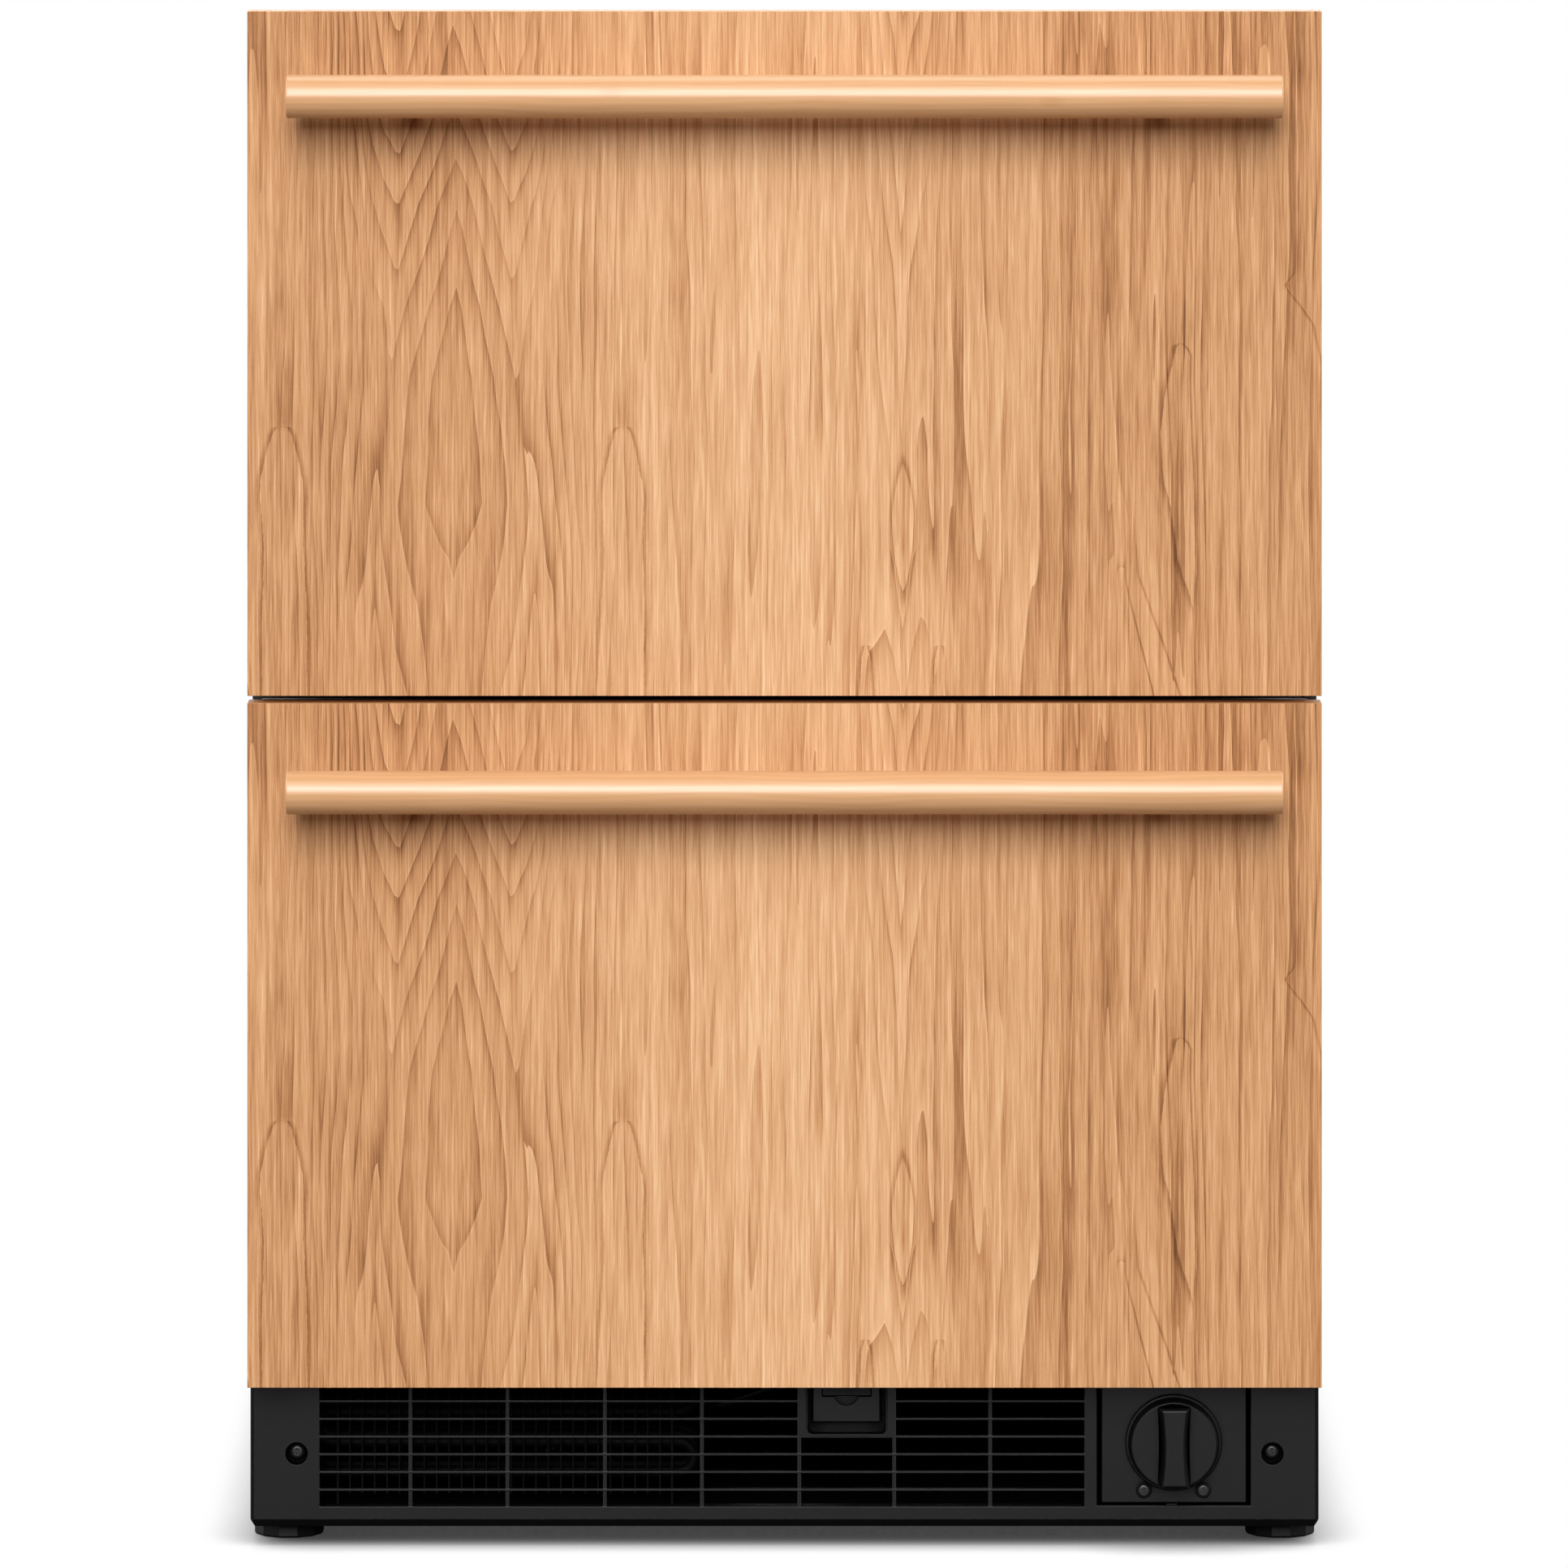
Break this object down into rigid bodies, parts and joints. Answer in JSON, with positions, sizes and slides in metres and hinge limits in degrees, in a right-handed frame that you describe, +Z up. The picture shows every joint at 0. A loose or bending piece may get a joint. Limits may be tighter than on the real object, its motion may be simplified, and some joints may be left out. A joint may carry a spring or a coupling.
{
  "type": "under-counter refrigerator",
  "caption": "Two-drawer under-counter refrigerator with oak overlay fronts, round wood handles, black louvred toe grille and a quarter-turn water filter cap.",
  "frame": {"origin": "on the floor under the centre of the overall box", "axes": "+Z up, -Y out of the drawer fronts, +X to the right seen from the front"},
  "size_m": [0.6, 0.66, 0.8636],
  "materials": {
    "black_steel": "satin powder coat",
    "galvanised_steel": "galvanised",
    "insulation_foam": "closed-cell foam",
    "liner_plastic": "vacuum-formed semi gloss",
    "black_plastic": "fine moulded texture",
    "black_screw": "black oxide",
    "white_plastic": "semi gloss",
    "valve_plastic": "glass-filled nylon",
    "water_tube": "flexible tube",
    "compressor_black": "gloss enamel",
    "rubber": "matt",
    "coil_black": "black dip paint",
    "fan_plastic": "moulded",
    "copper": "drawn copper",
    "coil_aluminium": "mill finish",
    "gloss_black": "gloss",
    "cord_rubber": "matt",
    "slide_steel": "zinc plated",
    "ice_aluminium": "cast, non-stick coat",
    "oak_veneer": "satin clear lacquer over oak veneer",
    "handle_wood": "satin clear lacquer over smooth wood",
    "gasket_rubber": "soft matt",
    "bin_plastic": "clear",
    "divider_plastic": "clear",
    "fan_white": "moulded",
    "foot_plastic": "moulded nylon"
  },
  "bodies": {
    "cabinet": {"cabinet_wrapper": "black_steel", "back_panel": "galvanised_steel", "cabinet_deck": "galvanised_steel", "foam_insulation": "insulation_foam", "upper_liner": "liner_plastic", "lower_liner": "liner_plastic", "mullion_rail": "black_steel", "base_chassis": "black_steel", "rear_cover": "galvanised_steel", "toe_grille": "black_plastic", "grille_screws": "black_screw", "filter_plate": "black_plastic", "switch_bezel": "black_plastic", "filter_head": "white_plastic", "water_valve": "valve_plastic", "water_lines": "water_tube", "compressor": "compressor_black", "compressor_mounts": "rubber", "condenser": "coil_black", "condenser_fan_motor": "fan_plastic", "drain_pan": "fan_plastic", "refrigerant_lines": "copper", "evaporator": "coil_aluminium", "evaporator_cover": "liner_plastic", "evaporator_fan_motor": "fan_plastic", "control_panel": "gloss_black", "power_cord": "cord_rubber", "cabinet_slide_rails": "slide_steel", "ice_maker": "ice_aluminium"},
    "upper_drawer": {"upper_panel": "oak_veneer", "upper_handle": "handle_wood", "upper_handle_posts": "slide_steel", "upper_door": "black_steel", "upper_door_foam": "insulation_foam", "upper_door_liner": "liner_plastic", "upper_gasket": "gasket_rubber", "upper_bin": "bin_plastic", "upper_slide_inner": "slide_steel"},
    "lower_drawer": {"lower_panel": "oak_veneer", "lower_handle": "handle_wood", "lower_handle_posts": "slide_steel", "lower_door": "black_steel", "lower_door_foam": "insulation_foam", "lower_door_liner": "liner_plastic", "lower_gasket": "gasket_rubber", "lower_bin": "bin_plastic", "lower_slide_inner": "slide_steel"},
    "upper_slide_mid": {"upper_slide_mid": "slide_steel"},
    "lower_slide_mid": {"lower_slide_mid": "slide_steel"},
    "upper_divider": {"upper_divider": "divider_plastic"},
    "filter_cartridge": {"filter_cartridge": "white_plastic"},
    "filter_cap": {"filter_cap": "black_plastic"},
    "power_rocker": {"power_rocker": "gloss_black"},
    "condenser_fan": {"condenser_fan": "fan_plastic"},
    "evaporator_fan": {"evaporator_fan": "fan_white"},
    "ice_ejector": {"ice_ejector": "fan_white"},
    "foot_front_left": {"foot_front_left": "foot_plastic"},
    "foot_front_right": {"foot_front_right": "foot_plastic"},
    "foot_rear_left": {"foot_rear_left": "foot_plastic"},
    "foot_rear_right": {"foot_rear_right": "foot_plastic"}
  },
  "joints": [
    {"name": "upper_drawer_slide", "type": "slide", "parent": "cabinet", "child": "upper_drawer", "axis": [0, -1, 0], "range_m": [0, 0.39]},
    {"name": "upper_mid_slide", "type": "slide", "parent": "cabinet", "child": "upper_slide_mid", "axis": [0, -1, 0], "range_m": [0, 0.195]},
    {"name": "lower_drawer_slide", "type": "slide", "parent": "cabinet", "child": "lower_drawer", "axis": [0, -1, 0], "range_m": [0, 0.27]},
    {"name": "lower_mid_slide", "type": "slide", "parent": "cabinet", "child": "lower_slide_mid", "axis": [0, -1, 0], "range_m": [0, 0.135]},
    {"name": "upper_divider_slide", "type": "slide", "parent": "upper_drawer", "child": "upper_divider", "axis": [1, 0, 0], "range_m": [-0.2, 0.2]},
    {"name": "filter_pull", "type": "slide", "parent": "cabinet", "child": "filter_cartridge", "axis": [0, -1, 0], "range_m": [0, 0.2]},
    {"name": "filter_cap_turn", "type": "hinge", "parent": "filter_cartridge", "child": "filter_cap", "pos_m": [0.2185, -0.2415, 0.0581], "axis": [0, 1, 0], "range_deg": [0, 90]},
    {"name": "power_rocker_tilt", "type": "hinge", "parent": "cabinet", "child": "power_rocker", "pos_m": [0.0349, -0.235, 0.0896], "axis": [1, 0, 0], "range_deg": [-18, 0]},
    {"name": "condenser_fan_spin", "type": "hinge", "parent": "cabinet", "child": "condenser_fan", "pos_m": [-0.158, -0.092, 0.057], "axis": [0, 1, 0], "continuous": true},
    {"name": "evaporator_fan_spin", "type": "hinge", "parent": "cabinet", "child": "evaporator_fan", "pos_m": [0.15, 0.112, 0.38], "axis": [0, 1, 0], "continuous": true},
    {"name": "ice_ejector_turn", "type": "hinge", "parent": "cabinet", "child": "ice_ejector", "pos_m": [-0.13, -0.015, 0.436], "axis": [1, 0, 0], "continuous": true},
    {"name": "foot_front_left_screw", "type": "slide", "parent": "cabinet", "child": "foot_front_left", "axis": [0, 0, -1], "range_m": [0, 0.025]},
    {"name": "foot_front_right_screw", "type": "slide", "parent": "cabinet", "child": "foot_front_right", "axis": [0, 0, -1], "range_m": [0, 0.025]},
    {"name": "foot_rear_left_screw", "type": "slide", "parent": "cabinet", "child": "foot_rear_left", "axis": [0, 0, -1], "range_m": [0, 0.025]},
    {"name": "foot_rear_right_screw", "type": "slide", "parent": "cabinet", "child": "foot_rear_right", "axis": [0, 0, -1], "range_m": [0, 0.025]}
  ],
  "couplings": [
    {"joint": "upper_mid_slide", "follows": "upper_drawer_slide", "ratio": 0.5},
    {"joint": "lower_mid_slide", "follows": "lower_drawer_slide", "ratio": 0.5}
  ]
}
